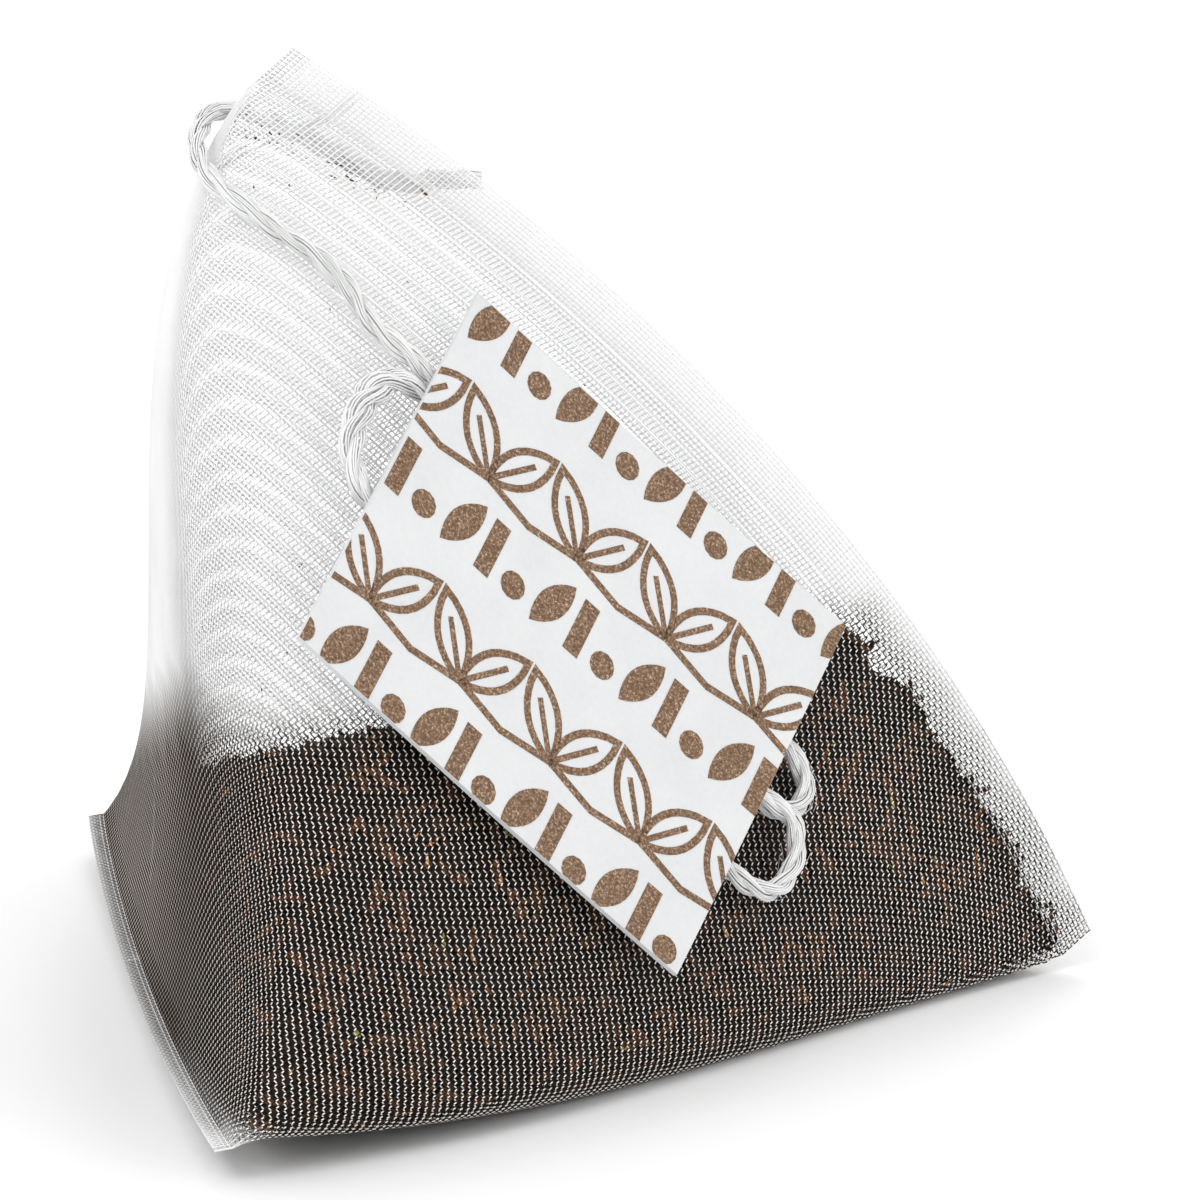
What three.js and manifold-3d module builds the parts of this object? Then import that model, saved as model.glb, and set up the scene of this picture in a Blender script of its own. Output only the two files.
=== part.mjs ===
// Pyramid tea bag: a tube of woven mesh, sealed flat at both ends with the two seals at right angles,
// filled with loose tea and standing on one of its four faces. Its thread leaves the upper seal, goes
// round the top corner and lies folded in a flat hank between the front face and the paper tag.
// Millimetres, +Z up. The lower seal runs along Y on the -X side, the upper seal climbs in the XZ plane.
import * as THREE from 'three';
import { mergeVertices } from 'three/addons/utils/BufferGeometryUtils.js';
import Module from 'manifold-3d';

const wasm = await Module();
wasm.setup();

// Bag: the flat tube's width is the length of both seals, the other four edges are equal.
const SEAL_LENGTH = 65;
const SIDE_EDGE = 58.7;
const WALL = 0.3;
const CLEARANCE = 0.3;
const UPPER_SEAL_WIDTH = 2;
const LOWER_SEAL_WIDTH = 1.2;
const LOWER_FLANGE_DIRECTION = new THREE.Vector3(-0.75, 0, -0.1);
const UPPER_SEAL_BOW = 4.2;
const UPPER_BOW_FADE = 1.5;
const LOWER_SEAL_BOW = 1;
const LOWER_BOW_FADE = 2;
const TIP_DROOP = 1.3;

// Cross-sections: rounded rectangles, squarer below where the tea fills the corners.
const SQUARENESS = 3.2;
const SQUARER_BELOW = 0.9;
const SQUARER_AT_TOP = 4;
const GIRTH_SWELL = 0.035;
const UPPER_SWELL = 0.09;
const FACE_SWELL = 0.02;
const BELLY = 2.4;
const BELLY_PLACE = 2.2; // the higher, the nearer the belly is to the lower seal
const FLOOR = -2.1;
const FLOOR_ROUNDING = 0.35;
const SLANT = 1.5; // a wall measured in a cross-section over its true thickness, on the slanting faces
const BAG_CENTRE_X = 24.25;

// The hollow stops short of both seals, and so does the tea in it, as shares of the tube's length.
const HOLLOW_SPAN = [0.03, 0.97];
const TEA_SPAN = [0.06, 0.94];

// One round hole stands for the open weave of the mesh, at a share of the tube's length and girth.
const WEAVE_OPENING = 1.6;
const OPENING_ALONG = 0.45;
const OPENING_ROUND = 0.27;
const DRILL_LENGTH = 12;
const DRILL_SIDES = 12;

// Tea: its top is a plane that falls away towards the back corner.
const TEA_LEVEL = 10.5;
const TEA_RISE_X = 0.19;
const TEA_RISE_Y = -0.3;

// Tag, over the front face.
const TAG_WIDTH = 27.6;
const TAG_HEIGHT = 24.9;
const TAG_THICKNESS = 0.3;
const TAG_CORNER = 0.3;
const TAG_ALONG = -2.2;
const TAG_DOWN = 14.1;
const TAG_STAND_OFF = 5;
const TAG_TURN = -6;
const TAG_TILT = 2;

// Thread: the free stretch, then the folded runs under the tag.
const THREAD = 1.1;
const THREAD_SIDES = 8;
const THREAD_STEPS = 26;
const HANK_LENGTH = 34.9;
const HANK_WIDTH = 12;
const HANK_THICKNESS = 1.1;
const HANK_ALONG = 0.5;
const HANK_DOWN = -1.5;
const HANK_DEPTH = 0.55;

// Centre line of the free stretch, in the part's own frame, from the upper seal to the hank.
const THREAD_ROUTE = [
  [-6.3, 1.2, 44.4],
  [-7.7, 1.2, 44.4],
  [-9.2, 1.2, 44.4],
  [-10.7, 1.7, 44.2],
  [-12.2, 2.3, 44.4],
  [-13.8, 2.5, 45.3],
  [-15.5, 2.7, 46.3],
  [-17.3, 3.0, 47.2],
  [-19.2, 3.1, 48.0],
  [-20.8, 2.3, 48.2],
  [-21.8, 0.6, 47.7],
  [-22.2, -1.6, 46.9],
  [-21.9, -3.6, 46.0],
  [-20.9, -4.9, 45.1],
  [-19.6, -5.6, 44.2],
  [-18.4, -6.0, 43.3],
  [-17.1, -6.2, 42.5],
  [-15.9, -6.5, 41.5],
  [-14.9, -7.1, 40.3],
  [-14.1, -7.7, 39.0],
  [-13.1, -8.2, 38.0],
  [-12.0, -8.6, 37.1],
];

// Colours and finishes.
const MESH_FINISH = { color: 0xf1f2f2, roughness: 0.45, transparent: true, opacity: 0.35 };
const TEA_FINISH = { color: 0x241a14, roughness: 0.9 };
const THREAD_FINISH = { color: 0xf4f4f2, roughness: 0.85 };
const PAPER_FINISH = { color: 0xe9e9ea, roughness: 0.8 };

const RING_POINTS = 48; // a multiple of 8
const RINGS = 22;
const FINE_POINTS = 720;

// Corners of the bag with flat faces and sharp edges.
const HALF_SEAL = SEAL_LENGTH / 2;
const faceHeight = Math.sqrt(SIDE_EDGE ** 2 - HALF_SEAL ** 2);
const topX = faceHeight - SEAL_LENGTH ** 2 / (2 * faceHeight);
const topCorner = new THREE.Vector3(topX, 0, Math.sqrt(faceHeight ** 2 - topX ** 2));
const rightCorner = new THREE.Vector3(faceHeight, 0, 0);
const nearCorner = new THREE.Vector3(0, -HALF_SEAL, 0);
const upperMiddle = topCorner.clone().add(rightCorner).multiplyScalar(0.5);
const axis = upperMiddle.clone().negate();
const alongUpper = rightCorner.clone().sub(topCorner).normalize();
const alongLower = new THREE.Vector3(0, 1, 0);
const downTube = axis.clone().normalize();
const toFrame = new THREE.Vector3(-BAG_CENTRE_X, 0, -FLOOR);

function signedPower(value, power) {
  return Math.sign(value) * Math.abs(value) ** power;
}

// A closed cross-section of the tube at t, from 0 at the upper seal to 1 at the lower one, as points
// (along the upper seal, along the lower seal), evenly spaced round it and set in by inset.
function crossSection(t, inset) {
  const halfUpper = Math.hypot(HALF_SEAL * (1 - t), WALL);
  const halfLower = Math.hypot(HALF_SEAL * t, WALL);
  const squareness = SQUARENESS + SQUARER_AT_TOP * (1 - t) ** 3;
  const fine = [];
  for (let i = 0; i <= FINE_POINTS; i++) {
    const turn = (2 * Math.PI * i) / FINE_POINTS;
    const power = 2 / (squareness + SQUARER_BELOW * Math.cos(turn));
    const across = halfUpper * signedPower(Math.cos(turn), power);
    fine.push(new THREE.Vector2(across, halfLower * signedPower(Math.sin(turn), power)));
  }
  const swell = Math.sin(Math.PI * t);
  const scale = ((2 * SEAL_LENGTH) / girth(fine)) * (1 + GIRTH_SWELL * swell);
  fine.forEach((point, i) => {
    const turn = (2 * Math.PI * i) / FINE_POINTS;
    const underside = THREE.MathUtils.clamp(2 * Math.cos(turn), 0, 1);
    const belly = BELLY * Math.sin(Math.PI * t ** BELLY_PLACE) * underside;
    const widen = point.x < 0 ? 1 + UPPER_SWELL * swell : 1;
    point.set(point.x * scale * widen + belly, point.y * scale * (1 + FACE_SWELL * swell));
  });
  return setIn(byEighths(fine), inset);
}

// Points shared out evenly over each eighth of a section, so that its four corners each keep one.
function byEighths(fine) {
  const eighth = FINE_POINTS / 8;
  const found = [];
  for (let e = 0; e < 8; e++) {
    const stretch = fine.slice(e * eighth, (e + 1) * eighth + 1);
    found.push(...evenly(stretch, RING_POINTS / 8));
  }
  return found;
}

function girth(points) {
  let sum = 0;
  for (let i = 1; i < points.length; i++) sum += points[i].distanceTo(points[i - 1]);
  return sum;
}

// count points at equal steps along a line of points, from its first point.
function evenly(points, count) {
  const step = girth(points) / count;
  const found = [points[0].clone()];
  let walked = 0;
  for (let i = 1; i < points.length && found.length < count; i++) {
    const span = points[i].distanceTo(points[i - 1]);
    while (found.length < count && walked + span >= found.length * step) {
      const share = (found.length * step - walked) / span;
      found.push(points[i - 1].clone().lerp(points[i], share));
    }
    walked += span;
  }
  return found;
}

// Each point of a closed section moved inwards, square to the line through its neighbours.
function setIn(points, inset) {
  return points.map((point, i) => {
    const before = points[(i + points.length - 1) % points.length];
    const after = points[(i + 1) % points.length];
    const along = after.clone().sub(before).normalize();
    return point.clone().add(new THREE.Vector2(-along.y, along.x).multiplyScalar(inset));
  });
}

// A height above the floor, rounded off to the flat where the bag rests.
function restOn(z, floor) {
  const above = z - floor;
  if (above <= -FLOOR_ROUNDING) return floor;
  if (above >= FLOOR_ROUNDING) return z;
  return floor + (above + FLOOR_ROUNDING) ** 2 / (4 * FLOOR_ROUNDING);
}

// The ring of points at t in space. beyond is how far past its seal a flange's edge lies.
function ringAt(t, inset, beyond) {
  return crossSection(t, inset).map((point) => {
    const upperBow = UPPER_SEAL_BOW * (1 - t) ** UPPER_BOW_FADE * (1 - (point.x / HALF_SEAL) ** 2);
    const lowerBow = LOWER_SEAL_BOW * t ** LOWER_BOW_FADE * (1 - (point.y / HALF_SEAL) ** 2);
    const place = upperMiddle.clone().addScaledVector(axis, t);
    place.addScaledVector(alongUpper, point.x).addScaledVector(alongLower, point.y);
    place.addScaledVector(downTube, lowerBow - upperBow);
    const tip = THREE.MathUtils.clamp(point.x / HALF_SEAL, 0, 1);
    place.z -= TIP_DROOP * (1 - t) ** 3 * tip ** 4;
    if (t === 0) place.addScaledVector(downTube, -beyond);
    if (t === 1) place.addScaledVector(LOWER_FLANGE_DIRECTION, beyond);
    place.z = restOn(place.z, FLOOR + inset);
    return place.add(toFrame);
  });
}

// A closed skin over rings of points, each end closed by a strip between its two flat sides.
function skin(rings) {
  const count = RING_POINTS;
  const places = rings.flat();
  const faces = [];
  const quad = (a, b, c, d) => faces.push(a, b, c, a, c, d);
  for (let r = 0; r + 1 < rings.length; r++) {
    for (let i = 0; i < count; i++) {
      const next = (i + 1) % count;
      quad(r * count + i, (r + 1) * count + i, (r + 1) * count + next, r * count + next);
    }
  }
  const last = (rings.length - 1) * count;
  for (let i = 0; i < count / 2; i++) {
    quad((count - i) % count, i, i + 1, count - i - 1);
    const near = count / 4 + i;
    const far = (count / 4 - i + count) % count;
    const farther = (far + count - 1) % count;
    quad(last + near, last + far, last + farther, last + near + 1);
  }
  const kept = [];
  for (let f = 0; f < faces.length; f += 3) {
    const [a, b, c] = faces.slice(f, f + 3);
    if (a !== b && b !== c && a !== c) kept.push(a, b, c);
  }
  const geometry = new THREE.BufferGeometry();
  geometry.setAttribute('position', new THREE.Float32BufferAttribute(places.flatMap((p) => p.toArray()), 3));
  geometry.setIndex(kept);
  return geometry;
}

function toSolid(geometry) {
  const bare = geometry.clone();
  bare.deleteAttribute('normal');
  bare.deleteAttribute('uv');
  const merged = mergeVertices(bare, 1e-4);
  const vertProperties = new Float32Array(merged.attributes.position.array);
  const triVerts = new Uint32Array(merged.index.array);
  return new wasm.Manifold(new wasm.Mesh({ numProp: 3, vertProperties, triVerts }));
}

function toGeometry(solid) {
  const mesh = solid.getMesh();
  const geometry = new THREE.BufferGeometry();
  geometry.setAttribute('position', new THREE.Float32BufferAttribute(mesh.vertProperties, 3));
  geometry.setIndex(Array.from(mesh.triVerts));
  return geometry;
}

// A closed solid inside the bag's outer face, set in by inset, between two cross-sections.
function filling(inset, from, to) {
  const rings = [];
  for (let r = 0; r <= RINGS; r++) rings.push(ringAt(THREE.MathUtils.lerp(from, to, r / RINGS), inset, 0));
  return toSolid(skin(rings));
}

function outerSolid() {
  const rings = [ringAt(0, 0, UPPER_SEAL_WIDTH)];
  for (let r = 0; r <= RINGS; r++) rings.push(ringAt(r / RINGS, 0, 0));
  rings.push(ringAt(1, 0, LOWER_SEAL_WIDTH));
  return toSolid(skin(rings));
}

// The hole is drilled through the back face only, square to it.
function weaveOpening() {
  const radius = WEAVE_OPENING / 2;
  const drill = new THREE.CylinderGeometry(radius, radius, DRILL_LENGTH, DRILL_SIDES);
  const outwards = frontNormal().multiply(new THREE.Vector3(1, -1, 1));
  const place = ringAt(OPENING_ALONG, 0, 0)[Math.round(RING_POINTS * OPENING_ROUND)];
  drill.applyQuaternion(new THREE.Quaternion().setFromUnitVectors(new THREE.Vector3(0, 1, 0), outwards));
  drill.translate(place.x, place.y, place.z);
  return toSolid(drill);
}

function frontNormal() {
  const across = nearCorner.clone().sub(topCorner);
  return new THREE.Vector3().crossVectors(across, alongUpper).normalize();
}

function bagGeometry() {
  const hollow = filling(WALL * SLANT, ...HOLLOW_SPAN);
  return toGeometry(outerSolid().subtract(hollow).subtract(weaveOpening()));
}

// Everything under the tea's sloping top, clear of the wall all round.
function teaGeometry() {
  const across = 3 * SEAL_LENGTH;
  const slab = new THREE.BoxGeometry(across, across, SEAL_LENGTH);
  const up = new THREE.Vector3(-TEA_RISE_X, -TEA_RISE_Y, 1).normalize();
  slab.translate(0, 0, -HALF_SEAL);
  slab.applyQuaternion(new THREE.Quaternion().setFromUnitVectors(new THREE.Vector3(0, 0, 1), up));
  slab.translate(toFrame.x, 0, toFrame.z + TEA_LEVEL);
  return toGeometry(filling((WALL + CLEARANCE) * SLANT, ...TEA_SPAN).intersect(toSolid(slab)));
}

// The free stretch of thread, a tube with a few flat sides.
function threadGeometry() {
  const section = new THREE.Shape();
  for (let i = 0; i < THREAD_SIDES; i++) {
    const turn = (2 * Math.PI * i) / THREAD_SIDES;
    const move = i === 0 ? 'moveTo' : 'lineTo';
    section[move]((THREAD / 2) * Math.cos(turn), (THREAD / 2) * Math.sin(turn));
  }
  section.closePath();
  const route = new THREE.CatmullRomCurve3(THREAD_ROUTE.map((p) => new THREE.Vector3(...p)));
  return new THREE.ExtrudeGeometry(section, { steps: THREAD_STEPS, extrudePath: route, bevelEnabled: false });
}

// A rectangle with rounded corners, centred, as thick as depth towards -Z.
function plate(width, height, corner, depth, roundness) {
  const x = width / 2 - corner;
  const y = height / 2 - corner;
  const shape = new THREE.Shape();
  shape.absarc(x, y, corner, 0, Math.PI / 2);
  shape.absarc(-x, y, corner, Math.PI / 2, Math.PI);
  shape.absarc(-x, -y, corner, Math.PI, 1.5 * Math.PI);
  shape.absarc(x, -y, corner, 1.5 * Math.PI, 2 * Math.PI);
  const geometry = new THREE.ExtrudeGeometry(shape, { depth, bevelEnabled: false, curveSegments: roundness });
  return geometry.translate(0, 0, -depth);
}

// A group whose X runs along the tag's long side, Z stands off the front face, origin at the tag's middle.
function tagGroup() {
  const outwards = frontNormal();
  const down = new THREE.Vector3().crossVectors(alongUpper, outwards);
  const group = new THREE.Group();
  group.position.copy(upperMiddle).addScaledVector(alongUpper, TAG_ALONG).addScaledVector(down, TAG_DOWN);
  group.position.addScaledVector(outwards, TAG_STAND_OFF).add(toFrame);
  group.quaternion.setFromRotationMatrix(new THREE.Matrix4().makeBasis(alongUpper, down.negate(), outwards));
  group.rotateX(THREE.MathUtils.degToRad(-TAG_TILT));
  group.rotateZ(THREE.MathUtils.degToRad(-TAG_TURN));
  return group;
}

function named(name, geometry, finish) {
  const mesh = new THREE.Mesh(geometry, new THREE.MeshStandardMaterial({ metalness: 0, ...finish }));
  mesh.name = name;
  return mesh;
}

const teaBag = new THREE.Group();
teaBag.add(named('mesh_bag', bagGeometry(), MESH_FINISH));
teaBag.add(named('tea_leaves', teaGeometry(), TEA_FINISH));
teaBag.add(named('string', threadGeometry(), THREAD_FINISH));

const onFront = tagGroup();
const hank = named(
  'string_hank',
  plate(HANK_LENGTH, HANK_WIDTH, HANK_WIDTH / 2, HANK_THICKNESS, 8),
  THREAD_FINISH,
);
hank.position.set(HANK_ALONG, -HANK_DOWN, -HANK_DEPTH);
onFront.add(hank);
onFront.add(named('tag', plate(TAG_WIDTH, TAG_HEIGHT, TAG_CORNER, TAG_THICKNESS, 2), PAPER_FINISH));
teaBag.add(onFront);

export default teaBag;
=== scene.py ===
# A pyramid tea bag: woven mesh, loose tea, a folded thread and a paper tag. Sizes in the dictionaries
# are millimetres unless a note says otherwise; meshes are turned to metres as they are made.
import math

import bmesh
import bpy
import numpy as np
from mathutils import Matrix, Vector, noise
from mathutils.bvhtree import BVHTree


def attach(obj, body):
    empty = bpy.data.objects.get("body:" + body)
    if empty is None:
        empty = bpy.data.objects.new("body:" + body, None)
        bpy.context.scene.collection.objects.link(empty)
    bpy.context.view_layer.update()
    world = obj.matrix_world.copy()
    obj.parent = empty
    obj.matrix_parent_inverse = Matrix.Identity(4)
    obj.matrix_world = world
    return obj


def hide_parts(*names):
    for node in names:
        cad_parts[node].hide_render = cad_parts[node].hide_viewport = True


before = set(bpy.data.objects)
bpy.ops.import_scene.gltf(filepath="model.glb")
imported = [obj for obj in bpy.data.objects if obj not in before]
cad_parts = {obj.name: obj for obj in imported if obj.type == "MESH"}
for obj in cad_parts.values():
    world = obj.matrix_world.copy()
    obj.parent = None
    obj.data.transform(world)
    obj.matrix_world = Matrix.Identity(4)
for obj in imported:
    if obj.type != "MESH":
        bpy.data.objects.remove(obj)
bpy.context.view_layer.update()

mm = 0.001
root = "root"

camera = {
    "azimuth": -8.52,  # degrees, 0 looks along +Y
    "elevation": 13.78,
    "distance": 500,
    "lens": 281.7,
    "aim": (-0.75, 0, 21.6),
}


def makeCamera():
    turn, rise = math.radians(camera["azimuth"]), math.radians(camera["elevation"])
    back = Vector((math.sin(turn) * math.cos(rise), -math.cos(turn) * math.cos(rise), math.sin(rise)))
    data = bpy.data.cameras.new("camera")
    data.lens = camera["lens"]
    data.sensor_width = 36
    data.clip_start, data.clip_end = 0.01, 20
    lookout = bpy.data.objects.new("camera", data)
    lookout.location = (Vector(camera["aim"]) + back * camera["distance"]) * mm
    lookout.rotation_mode = "QUATERNION"
    lookout.rotation_quaternion = (-back).to_track_quat("-Z", "Y")
    bpy.context.scene.collection.objects.link(lookout)
    bpy.context.scene.camera = lookout


makeCamera()
print("camera placed")


def linkObject(name, mesh):
    made = bpy.data.objects.new(name, mesh)
    bpy.context.scene.collection.objects.link(made)
    return made


def meshFrom(name, points, edges=(), faces=()):
    mesh = bpy.data.meshes.new(name)
    mesh.from_pydata([tuple(p) for p in np.asarray(points) * mm], list(edges), list(faces))
    mesh.update()
    return mesh


def floatAttribute(mesh, name, values):
    mesh.attributes.new(name, "FLOAT", "POINT").data.foreach_set("value", np.asarray(values, np.float32))


# Short calls for building a node tree
class Tree:
    def __init__(self, tree):
        self.tree = tree

    def add(self, kind, inputs=None, **settings):
        node = self.tree.nodes.new(kind)
        for key, value in settings.items():
            setattr(node, key, value)
        for key, value in (inputs or {}).items():
            self.plug(value, node.inputs[key])
        return node

    def plug(self, value, socket):
        if isinstance(value, bpy.types.NodeSocket):
            self.tree.links.new(value, socket)
        elif isinstance(value, bpy.types.Node):
            self.tree.links.new(value.outputs[0], socket)
        else:
            socket.default_value = value


def geometryTree(name, inputs):
    tree = bpy.data.node_groups.new(name, "GeometryNodeTree")
    tree.interface.new_socket("Geometry", in_out="INPUT", socket_type="NodeSocketGeometry")
    for label, kind, value in inputs:
        socket = tree.interface.new_socket(label, in_out="INPUT", socket_type=kind)
        if value is not None:
            socket.default_value = value
    tree.interface.new_socket("Geometry", in_out="OUTPUT", socket_type="NodeSocketGeometry")
    return Tree(tree)


# Runs a tree on a piece with these inputs and keeps the result as its plain mesh
def applyTree(piece, tree, values):
    modifier = piece.modifiers.new(tree.name, "NODES")
    modifier.node_group = tree
    identifiers = {s.name: s.identifier for s in tree.interface.items_tree if s.in_out == "INPUT"}
    for name, value in values.items():
        modifier[identifiers[name]] = value
    depsgraph = bpy.context.evaluated_depsgraph_get()
    shown = piece.evaluated_get(depsgraph)
    result = bpy.data.meshes.new_from_object(shown, preserve_all_data_layers=True, depsgraph=depsgraph)
    piece.modifiers.remove(modifier)
    piece.data = result
    return piece


def smooth(piece):
    piece.data.polygons.foreach_set("use_smooth", np.ones(len(piece.data.polygons), bool))


def place(piece, slotName, *nodes):
    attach(piece, root)
    if nodes:
        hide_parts(*nodes)


def newMaterial(name):
    material = bpy.data.materials.new(name)
    material.use_nodes = True
    material.node_tree.nodes.clear()
    return material, Tree(material.node_tree)


def finishMaterial(tree, shader):
    tree.add("ShaderNodeOutputMaterial", {"Surface": shader})


def ramp(tree, factor, stops):
    node = tree.add("ShaderNodeValToRGB", {"Fac": factor})
    elements = node.color_ramp.elements
    while len(elements) < len(stops):
        elements.new(0.5)
    for element, (position, colour) in zip(elements, stops):
        element.position = position
        element.color = (*colour, 1)
    return node


bag = {
    "sealLength": 65,
    "sideEdge": 58.7,
    "wall": 0.3,
    "upperFlange": 2,
    "lowerFlange": 1.2,
    "upperBow": 4.2,
    "lowerBow": 1,
    "tipDroop": 1.3,
    "squareness": 3.2,
    "squarerBelow": 0.9,
    "squarerAtTop": 4,
    "girthSwell": 0.035,
    "upperSwell": 0.09,
    "faceSwell": 0.02,
    "belly": 2.4,
    "bellyPlace": 2.2,
    "floor": -2.1,
    "floorRounding": 0.35,
    "centreX": 24.25,
}
halfSeal = bag["sealLength"] / 2
girth = 2 * bag["sealLength"]
faceHeight = math.sqrt(bag["sideEdge"] ** 2 - halfSeal**2)
topX = faceHeight - bag["sealLength"] ** 2 / (2 * faceHeight)
topCorner = np.array([topX, 0, math.sqrt(faceHeight**2 - topX**2)])
rightCorner = np.array([faceHeight, 0, 0])
upperMiddle = (topCorner + rightCorner) / 2
tubeLength = float(np.linalg.norm(upperMiddle))
downTube = -upperMiddle / tubeLength
alongUpper = (rightCorner - topCorner) / bag["sealLength"]
toFrame = np.array([-bag["centreX"], 0, -bag["floor"]])


# Points of the bag's outer face at t, from 0 at the upper seal to 1 at the lower one, and at these
# distances round the tube from its bottom edge. Past either end they lie on the flange.
def ring(t, distances):
    inside = min(max(t, 0), 1)
    turn = np.linspace(0, 2 * math.pi, 721)
    cosine, sine = np.cos(turn), np.sin(turn)
    halfUpper = math.hypot(halfSeal * (1 - inside), bag["wall"])
    halfLower = math.hypot(halfSeal * inside, bag["wall"])
    squareness = bag["squareness"] + bag["squarerAtTop"] * (1 - inside) ** 3
    power = 2 / (squareness + bag["squarerBelow"] * cosine)
    x = halfUpper * np.sign(cosine) * np.abs(cosine) ** power
    y = halfLower * np.sign(sine) * np.abs(sine) ** power
    swell = math.sin(math.pi * inside)
    scale = girth / np.hypot(np.diff(x), np.diff(y)).sum() * (1 + bag["girthSwell"] * swell)
    x = x * scale * np.where(x < 0, 1 + bag["upperSwell"] * swell, 1)
    x = x + bag["belly"] * math.sin(math.pi * inside ** bag["bellyPlace"]) * np.clip(2 * cosine, 0, 1)
    y = y * scale * (1 + bag["faceSwell"] * swell)
    walked = np.concatenate([[0], np.cumsum(np.hypot(np.diff(x), np.diff(y)))])
    at = np.mod(np.asarray(distances, float), girth) / girth * walked[-1]
    x, y = np.interp(at, walked, x), np.interp(at, walked, y)
    upperBow = bag["upperBow"] * (1 - inside) ** 1.5 * (1 - (x / halfSeal) ** 2)
    lowerBow = bag["lowerBow"] * inside**2 * (1 - (y / halfSeal) ** 2)
    points = upperMiddle * (1 - inside) + np.outer(x, alongUpper) + np.outer(y, (0, 1, 0))
    points += np.outer(lowerBow - upperBow, downTube)
    points[:, 2] -= bag["tipDroop"] * (1 - inside) ** 3 * np.clip(x / halfSeal, 0, 1) ** 4
    points += downTube * min(t, 0) * tubeLength
    points += np.array([-0.75, 0, -0.1]) * max(t - 1, 0) * tubeLength
    above = points[:, 2] - bag["floor"]
    rounding = bag["floorRounding"]
    rested = bag["floor"] + np.maximum(above + rounding, 0) ** 2 / (4 * rounding)
    points[:, 2] = np.where(above > rounding, points[:, 2], rested)
    return points + toFrame


# The outer face as an array of rings, with its outward normals
def skinGrid(ts, rounds):
    grid = np.array([ring(t, rounds) for t in ts])
    across = np.roll(grid, -1, 1) - np.roll(grid, 1, 1)
    along = np.gradient(grid, axis=0)
    normals = np.cross(across, along)
    normals /= np.maximum(np.linalg.norm(normals, axis=2, keepdims=True), 1e-9)
    outward = np.sign((normals * (grid - grid.mean((0, 1)))).sum())
    return grid, normals * outward


topT = -bag["upperFlange"] / tubeLength
lowT = 1 + bag["lowerFlange"] / tubeLength
formRounds = np.arange(0, girth, 1.0)
formTs = np.concatenate([[topT], np.linspace(0, 1, 61), [lowT]])
formGrid, formNormals = skinGrid(formTs, formRounds)


# The outer face as a tree of faces to measure from
def skinTree():
    rows, columns = formGrid.shape[:2]
    faces = []
    for r in range(rows - 1):
        for c in range(columns):
            n = (c + 1) % columns
            faces.append((r * columns + c, r * columns + n, (r + 1) * columns + n, (r + 1) * columns + c))
    return BVHTree.FromPolygons([Vector(p) for p in formGrid.reshape(-1, 3)], faces)


skin = skinTree()
bagMiddle = Vector(formGrid.mean((0, 1)))


# Points moved where they come nearer than inset to the outer face, or past it
def keepInside(points, inset):
    kept = []
    for p in points:
        p = Vector(p)
        near, normal, _, distance = skin.find_nearest(p)
        if (near - bagMiddle).dot(normal) < 0:
            normal = -normal
        depth = (near - p).dot(normal)
        kept.append(p if depth >= inset else near - normal * inset)
    return kept


# Every chain of edges becomes a thin thread, as thick as its width attribute times Thickness
def spinTree():
    t = geometryTree("spinThreads", [
        ("Thickness", "NodeSocketFloat", 0.0001),
        ("Sides", "NodeSocketInt", 3),
        ("Material", "NodeSocketMaterial", None),
    ])
    given = t.add("NodeGroupInput")
    lines = t.add("GeometryNodeMeshToCurve", {"Mesh": given.outputs["Geometry"]})
    width = t.add("GeometryNodeInputNamedAttribute", {"Name": "width"}, data_type="FLOAT")
    sized = t.add("GeometryNodeSetCurveRadius", {"Curve": lines, "Radius": width.outputs["Attribute"]})
    profile = t.add("GeometryNodeCurvePrimitiveCircle", {
        "Resolution": given.outputs["Sides"], "Radius": given.outputs["Thickness"],
    })
    threads = t.add("GeometryNodeCurveToMesh", {
        "Curve": sized, "Profile Curve": profile, "Fill Caps": True,
    })
    if "Scale" in threads.inputs:
        radius = t.add("GeometryNodeInputRadius")
        t.plug(radius.outputs[0], threads.inputs["Scale"])
    shaded = t.add("GeometryNodeSetShadeSmooth", {"Geometry": threads, "Shade Smooth": True})
    real = t.add("GeometryNodeRealizeInstances", {"Geometry": shaded})
    dyed = t.add("GeometryNodeSetMaterial", {"Geometry": real, "Material": given.outputs["Material"]})
    t.add("NodeGroupOutput", {"Geometry": dyed})
    return t.tree


spin = spinTree()


# A piece of threads along these lines, each attribute with one array of values for each line
def spunPiece(name, lines, radius, sides, material, attributes):
    counts = [len(line) for line in lines]
    starts = np.cumsum([0] + counts[:-1])
    edges = []
    for start, count in zip(starts, counts):
        edges += [(start + i, start + i + 1) for i in range(count - 1)]
    mesh = meshFrom(name, np.concatenate(lines), edges)
    for attribute, values in {"width": [np.ones(c) for c in counts], **attributes}.items():
        floatAttribute(mesh, attribute, np.concatenate(values))
    piece = linkObject(name, mesh)
    return applyTree(piece, spin, {"Thickness": radius * mm, "Sides": sides, "Material": material})


# The mesh of the bag
weave = {
    "lengthwiseThreads": 420,  # both counts even, so that the painted highlight over each crossing and painted shade under it alternate all round
    "roundThreads": 168,
    "threadRadius": 0.041,
    "lengthwiseSteps": 34,
    "roundSteps": 88,
    "between": 0.03,  # lengthwise threads lie this far out, round ones this far in
    "teaReach": 1.2,  # tea this near darkens a clear thread
    "leftTeaReach": 0.9,  # and this much farther off at the steep left end
    "leftTeaFade": 2.6,
    "leftEnd": {"fromX": -17, "overX": 4, "fromY": -22, "overY": 12},
    "teaDepth": 5,  # as tea does that lies this far behind it
    "lapBacking": 0.5,
    "flangeBacking": 0.25,  # the lower flange sticks out past the tea
    "seamAt": 60.5,  # round the tube, where the sheet's edges lap
}


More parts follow.
